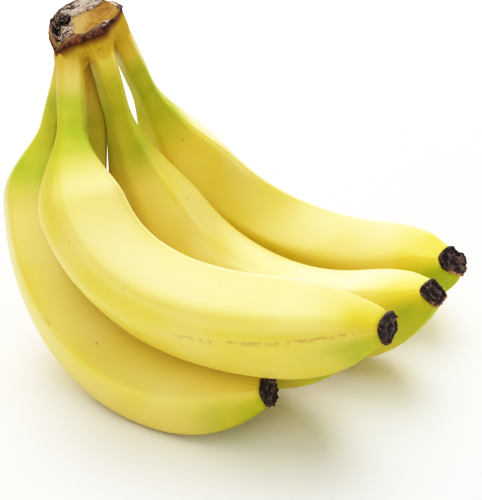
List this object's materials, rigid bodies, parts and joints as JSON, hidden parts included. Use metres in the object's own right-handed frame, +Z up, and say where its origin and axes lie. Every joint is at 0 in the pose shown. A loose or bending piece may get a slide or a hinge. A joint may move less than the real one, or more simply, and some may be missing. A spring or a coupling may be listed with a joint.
{
  "type": "bunch of bananas",
  "caption": "Bunch of ripe curved bananas on one cut woody crown, lying on a flat surface with the tips fanned out to one side.",
  "frame": {"origin": "on the surface that the bunch lies on, under the middle of its bounding box", "axes": "+Z up from the surface; +X from the crown's side towards the tips, along the longest extent; +Y towards the back banana"},
  "size_m": [0.1864, 0.166, 0.1376],
  "materials": {
    "banana_skin": "smooth waxy peel, pale cream yellow with green at the neck and tip",
    "crown_wood": "dry fibrous cut crown, golden tan face with a dark brown ragged rim",
    "dried_blossom": "dry wrinkled near-black blossom end"
  },
  "bodies": {
    "root": {"crown": "crown_wood", "banana_front_low": "banana_skin", "banana_front_top": "banana_skin", "banana_middle": "banana_skin", "banana_back": "banana_skin", "banana_under": "banana_skin", "blossom_end_front_low": "dried_blossom", "blossom_end_front_top": "dried_blossom", "blossom_end_middle": "dried_blossom", "blossom_end_back": "dried_blossom", "blossom_end_under": "dried_blossom"}
  },
  "joints": []
}
